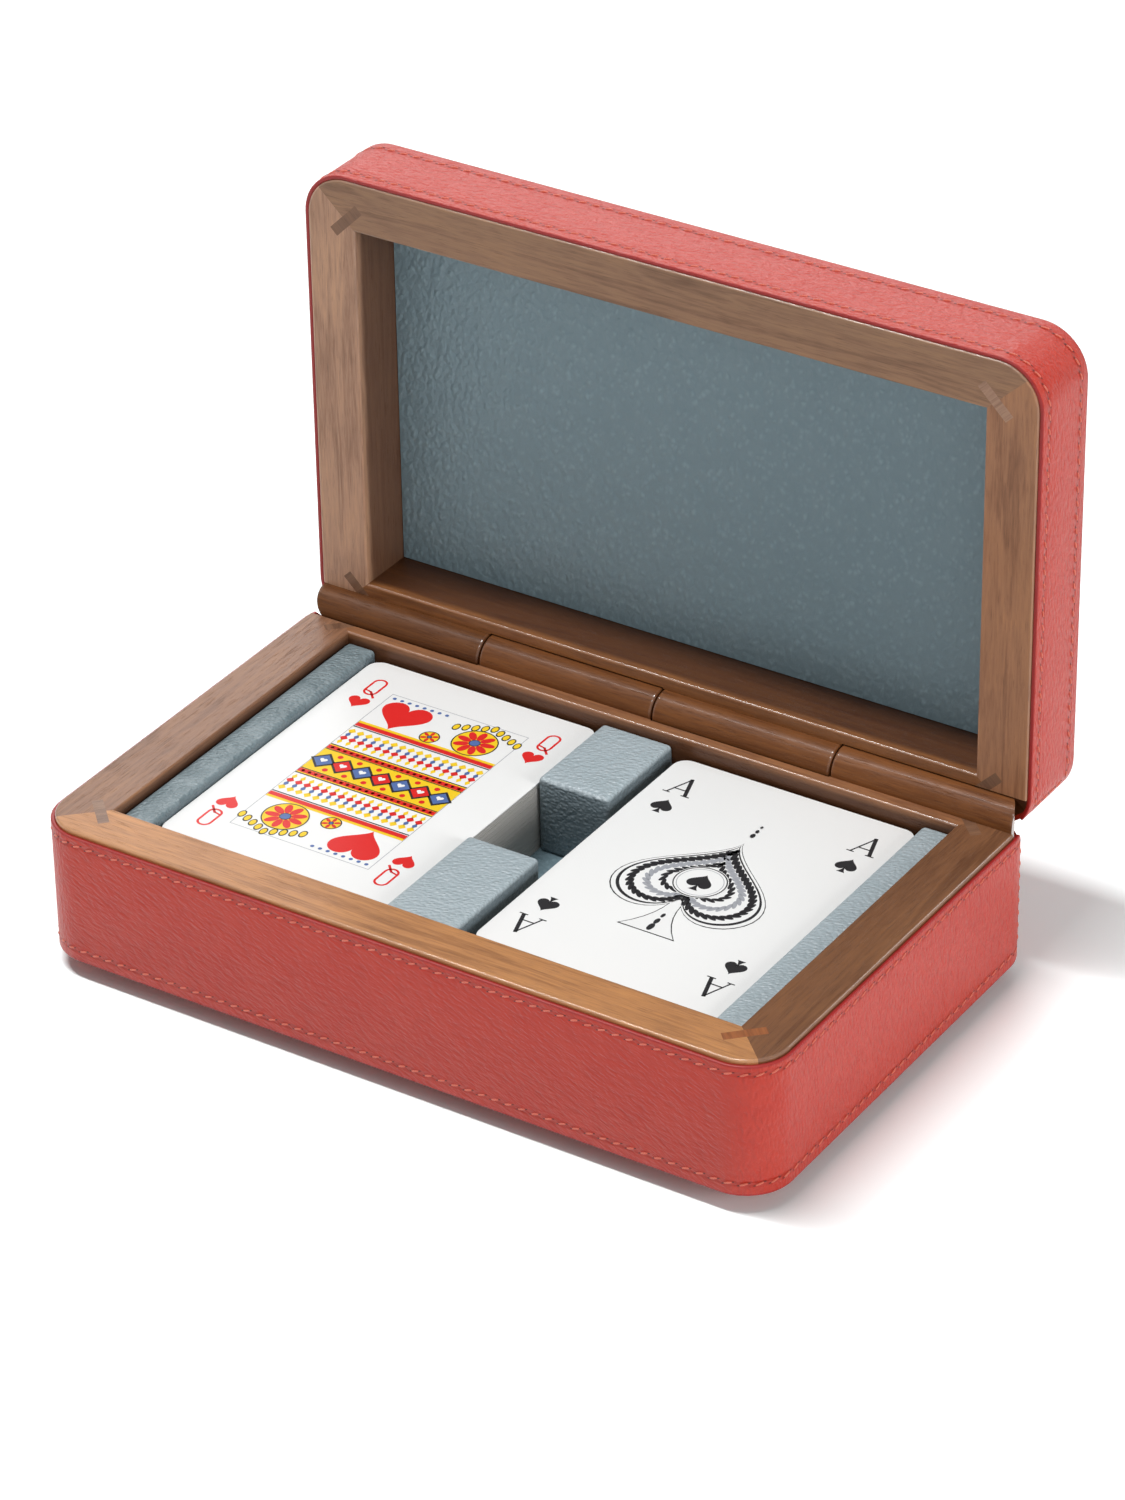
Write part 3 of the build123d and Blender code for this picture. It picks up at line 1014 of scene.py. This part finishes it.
def print_left():
    """The red card: heart indices, a frame and a two-way pattern of flowers and braids."""
    card = Print("left")
    for across, along, turn in index_corners():
        x = across * (CARD_HALF_W - INDEX_IN)
        card.add(heart(5.5), red_ink, x, along * (CARD_HALF_L - PIP_DOWN), turn)
        card.add(letter_q(), red_ink, x, along * (CARD_HALF_L - LETTER_DOWN), turn)
    card.add(frame_line(FRAME_W, FRAME_L, 0.16), grey_ink, 0, 0)
    card.add(heart(13.0), red_ink, -11.2, 24.9, 0, both_ways=True)
    card.add(bar(PATTERN_W, 14.4), yellow_ink, 0, 0)
    card.over()
    card.add(bar(PATTERN_W, 0.35), black_ink, 0, 7.2, 0, both_ways=True)
    card.add(bar(PATTERN_W, 1.5), red_ink, 0, 5.9, 0, both_ways=True)
    card.add(bar(PATTERN_W, 0.3), black_ink, 0, 4.9, 0, both_ways=True)
    for step in range(-3, 4):
        card.add(disc(3.4, 4), black_ink, LOZENGE_PITCH * step, 0)
    for step in range(-3, 3):
        card.add(disc(0.7, 20), red_ink, LOZENGE_PITCH * (step + 0.5), 3.2, 0, both_ways=True)
    for step in range(-10, 11):
        card.add(disc(0.42, 12), yellow_ink, BEAD_PITCH * step, 5.9, 0, both_ways=True)
    card.over()
    for step in range(-3, 4):
        card.add(disc(2.6, 4), blue_ink if step % 2 else red_ink, LOZENGE_PITCH * step, 0)
    card.over()
    for step in range(-3, 4):
        card.add(heart(1.9), card_paper, LOZENGE_PITCH * step, 0)
    card.layer = 1
    for row, material in enumerate((yellow_ink, red_ink, blue_ink, yellow_ink)):
        for step in range(16):
            x = BRAID_PITCH * (step - 7.5)
            shape = disc(1.15, 4, 0.9 if row % 2 else 0.55)
            card.add(shape, material, x, 9.1 + 1.7 * row, 0, both_ways=True)
    lines = ((black_ink, 0.4), (red_ink, 1.5), (yellow_ink, 0.9))
    for step, (material, width) in enumerate(lines):
        card.add(bar(PATTERN_W, width), material, 0, 16.4 + 1.15 * step, 0, both_ways=True)
    for step in range(9):
        x = 1.9 + PETAL_PITCH * step
        card.add(disc(1.5, 24, 0.62), black_ink, x, 32.0 - 0.9 * abs(step - 4), 0, both_ways=True)
    card.over()
    for step in range(9):
        x = 1.9 + PETAL_PITCH * step
        card.add(disc(1.1, 24, 0.6), yellow_ink, x, 32.0 - 0.9 * abs(step - 4), 0, both_ways=True)
    for step in range(8):
        card.add(disc(0.5, 12), blue_ink, -17.4 + PETAL_PITCH * step, 31.4, 0, both_ways=True)
    rosette(card, 9.6, 24.4, 5.6, 9)
    card.layer = 1
    rosette(card, -0.9, 21.3, 2.5, 6)
    return card.finish()


def spray(card, pitch, size, reach, ink_material, lean):
    """Leaves set evenly round the inside of the large spade, each leaning the same way."""
    middle = Vector((0, 3.0, 0))
    points = [middle - reach * point for point in heart_points(120)]
    for point, along in evenly(points, pitch, 1.2):
        angle = math.degrees(math.atan2(along.y, along.x)) + lean
        card.add(disc(size, 20, 0.36), ink_material, point.x, point.y, angle)


def print_right():
    """The black card: spade indices and a large leafy spade without words."""
    card = Print("right")
    for across, along, turn in index_corners():
        x = across * (CARD_HALF_W - INDEX_IN)
        card.add(spade(5.3), black_ink, x, along * (CARD_HALF_L - ACE_PIP_DOWN), turn)
        card.add(letter_a(), black_ink, x, along * (CARD_HALF_L - LETTER_DOWN), turn)
    card.add(spade(37.5), black_ink, 0, 3.0)
    card.over()
    card.add(heart(36.9, upside_down=True, count=120), card_paper, 0, 3.0)
    card.add(spade_stem(34.8), card_paper, 0, -14.5)
    card.over()
    card.add(heart(35.0, upside_down=True, count=120), black_ink, 0, 3.0)
    for step in range(3):
        card.add(disc(1.5 - 0.3 * step, 20, 0.5), black_ink, 0, -19.8 + 2.6 * step)
    card.over()
    card.add(heart(33.6, upside_down=True, count=120), card_paper, 0, 3.0)
    card.over()
    spray(card, 1.75, 1.7, 29.4, black_ink, 58)
    spray(card, 1.7, 1.6, 22.8, grey_ink, 122)
    spray(card, 1.8, 1.5, 16.4, black_ink, 58)
    card.over()
    card.add(disc(6.4, 56), card_paper, 0, 1.0)
    card.over()
    card.add(ring(6.2, 0.3, 56), black_ink, 0, 1.0)
    card.add(ring(5.4, 0.16, 56), grey_ink, 0, 1.0)
    card.add(spade(6.0), black_ink, 0, 1.6)
    for step in range(3):
        card.add(disc(0.9 - 0.2 * step, 20, 0.6), black_ink, 0, 23.6 + 2.0 * step)
    return card.finish()


for side in ("left", "right"):
    card_stack(side)
    top_card(side)
print_left()
print_right()


# The finish of the pieces that keep their CAD shape


def dress(node, material):
    """Gives a CAD node its finish."""
    piece = frame["nodes"][node]
    if not piece.material_slots:
        piece.data.materials.append(material)
    for place in piece.material_slots:
        place.material = material


KEY_TONES = {
    ("tray", "front_right"): srgb(148, 88, 50),
    ("tray", "front_left"): srgb(128, 96, 76),
    ("lid", "front_right"): srgb(158, 122, 100),
}

KNUCKLE_TONE = srgb(110, 67, 36)

# Where painted shade darkens the walls inside, in millimetres: the axis, just below the rim and
# deeper
TRAY_RECESS_SHADE = (2, 1000 * rim_z - 0.7, 1000 * rim_z - 2.2)
LID_RECESS_SHADE = (1, 1000 * lid_low.y + 1.0, 1000 * lid_low.y + 3.0)


def dress_woodwork():
    """Walnut rails, each with its grain along its length, the barrel and the keys."""
    # Each rail's tone is partly the wood's own and partly painted light: golden where a sheen
    # falls, as on the tray's front rail, and dark where shade falls, as on its right rail.
    rails = [
        ("tray_front_rail", 0, (3, 40, 9), srgb(178, 124, 78)),
        ("tray_back_rail", 0, (60, 11, 31), srgb(138, 92, 60)),
        ("tray_left_rail", 1, (17, 5, 80), srgb(132, 93, 68)),
        ("tray_right_rail", 1, (91, 33, 12), srgb(118, 78, 50)),
        ("lid_front_rail", 0, (44, 77, 21), srgb(140, 104, 78)),
        ("lid_back_rail", 0, (8, 61, 55), srgb(128, 80, 42)),
        ("lid_left_rail", 2, (29, 13, 70), srgb(172, 132, 106)),
        ("lid_right_rail", 2, (73, 50, 37), srgb(154, 107, 76)),
    ]
    for node, grain_axis, shift, body in rails:
        inside = LID_RECESS_SHADE if node.startswith("lid") else TRAY_RECESS_SHADE
        name = node.replace("_", " ") + " walnut"
        dress(node, walnut(name, grain_axis, shift, body, inside=inside))
    for number, tone in enumerate((0.72, 0.95, 1.0, 1.1), start=1):
        shift = (13 * number, 29 * number, 7 * number)
        name = "knuckle walnut " + str(number)
        body = scaled_colour(tone, KNUCKLE_TONE)
        node = "hinge_knuckle_" + str(number)
        low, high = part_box(node)
        dress(node, walnut(name, 0, shift, body, gloss=0.3, splits=(low.x, high.x), shine=0.14))
    for half in ("tray", "lid"):
        axis = "Z" if half == "tray" else "Y"
        for corner in ("front_left", "front_right", "back_left", "back_right"):
            sign = 1 if corner in ("front_left", "back_right") else -1
            turn = (0, 0, sign * math.pi / 4) if axis == "Z" else (0, sign * math.pi / 4, 0)
            name = half + " " + corner.replace("_", " ") + " key wood"
            tone = KEY_TONES.get((half, corner), srgb(118, 84, 62))
            finish = walnut(name, 0, (20 * sign, 5, 9), tone, turn=turn)
            dress(half + "_" + corner + "_key", finish)


def dress_the_rest():
    board = plain_wood("inner board", (0.5, 0.36, 0.22))
    for node in ("tray_board", "lid_board"):
        dress(node, board)
    for name in ("left_strip", "right_strip", "front_block", "back_block"):
        dress(name + "_core", board)
    for place in ("tray_back", "tray_underside", "lid_back", "lid_top"):
        dress(place + "_leather", red_panel)
    dress("lid_lining", lining_leather)
    dress("tray_floor_pad", lining_leather)
    dress("hinge_pin", brushed_steel("steel pin"))
    rubber = foot_rubber("foot rubber")
    for corner in ("front_left", "front_right", "back_left", "back_right"):
        dress(corner + "_foot", rubber)


dress_woodwork()
dress_the_rest()


# Floor, light and camera


def studio_floor():
    """A white floor that a viewer sees as white and that keeps the case's shadow."""
    deselect()
    bpy.ops.mesh.primitive_plane_add(size=6.0, location=(0, 0, 0))
    floor = bpy.context.object
    floor.name = "floor"
    finish = Finish("floor white", Roughness=0.9, Specular_IOR_Level=0.0)
    seen = finish.node("ShaderNodeLightPath", output="Is Camera Ray")
    for ray in ("Is Glossy Ray", "Is Transmission Ray"):
        seen = seen.math("MAXIMUM", finish.node("ShaderNodeLightPath", output=ray))
    finish.feed("Base Color", finish.mix(seen, (0.86,) * 3, (1.09, 1.16, 1.16)))
    floor.data.materials.append(finish.material)


def area_light(name, place, sizes, power, aim=(0, 0, 0.03), soft=True, glints=True):
    """A softbox that faces its aim, with its width level along X where it can be."""
    deselect()
    bpy.ops.object.light_add(type="AREA")
    light = bpy.context.object
    light.name = name
    light.data.shape = "RECTANGLE"
    light.data.size, light.data.size_y = sizes
    light.data.energy = power
    back = (Vector(place) - Vector(aim)).normalized()
    side = (Vector((1, 0, 0)) - back * back.x).normalized()
    turn = Matrix((side, back.cross(side), back)).transposed().to_4x4()
    light.matrix_world = Matrix.Translation(place) @ turn
    light.visible_diffuse = soft
    light.visible_glossy = glints


def studio_world(strength):
    """White to the camera and in reflections, an even soft light to everything else."""
    world = bpy.data.worlds.new("studio")
    bpy.context.scene.world = world
    world.use_nodes = True
    nodes, links = world.node_tree.nodes, world.node_tree.links
    background = nodes["Background"]
    background.inputs["Color"].default_value = (1, 1, 1, 1)
    rays = nodes.new("ShaderNodeLightPath")
    seen = rays.outputs["Is Camera Ray"]
    for ray in ("Is Glossy Ray", "Is Transmission Ray"):
        either = nodes.new("ShaderNodeMath")
        either.operation = "MAXIMUM"
        links.new(seen, either.inputs[0])
        links.new(rays.outputs[ray], either.inputs[1])
        seen = either.outputs[0]
    level = nodes.new("ShaderNodeMath")
    level.operation = "MULTIPLY_ADD"
    level.inputs[1].default_value = 1.0 - strength
    level.inputs[2].default_value = strength
    links.new(seen, level.inputs[0])
    links.new(level.outputs[0], background.inputs["Strength"])


def photo_camera():
    """The camera where the photograph was taken from."""
    azimuth, elevation, roll = (math.radians(angle) for angle in (33.15, 31.53, -0.95))
    data = bpy.data.cameras.new("camera")
    camera = bpy.data.objects.new("camera", data)
    bpy.context.collection.objects.link(camera)
    data.sensor_width = 36.0
    data.lens = 138.2
    data.clip_end = 20
    turn = Matrix.Rotation(azimuth, 4, "Z") @ Matrix.Rotation(math.pi / 2 - elevation, 4, "X")
    turn = turn @ Matrix.Rotation(roll, 4, "Z")
    camera.matrix_world = Matrix.Translation((0.60453, -0.92124, 0.72849)) @ turn
    bpy.context.scene.camera = camera


studio_floor()
area_light("overhead strip", (-0.5, -0.2, 2.2), (1.3, 0.16), 41.0, (0, -0.1, 0.02))
area_light("back softbox", (-0.8, 1.25, 0.95), (1.0, 0.8), 6.2)
area_light("right reflector", (1.7, -0.1, 0.4), (0.9, 0.6), 17.5, glints=False)
area_light("front reflector", (0.1, -1.75, 0.2), (1.0, 0.35), 4.6, glints=False)
area_light("front glint strip", (-0.1, -1.0, 1.6), (1.6, 0.15), 12.0, soft=False)
area_light("back glint strip", (0.5, 1.3, 1.1), (0.9, 0.15), 3.0, soft=False)
studio_world(0.2)
photo_camera()
bpy.context.scene.view_settings.view_transform = "Standard"
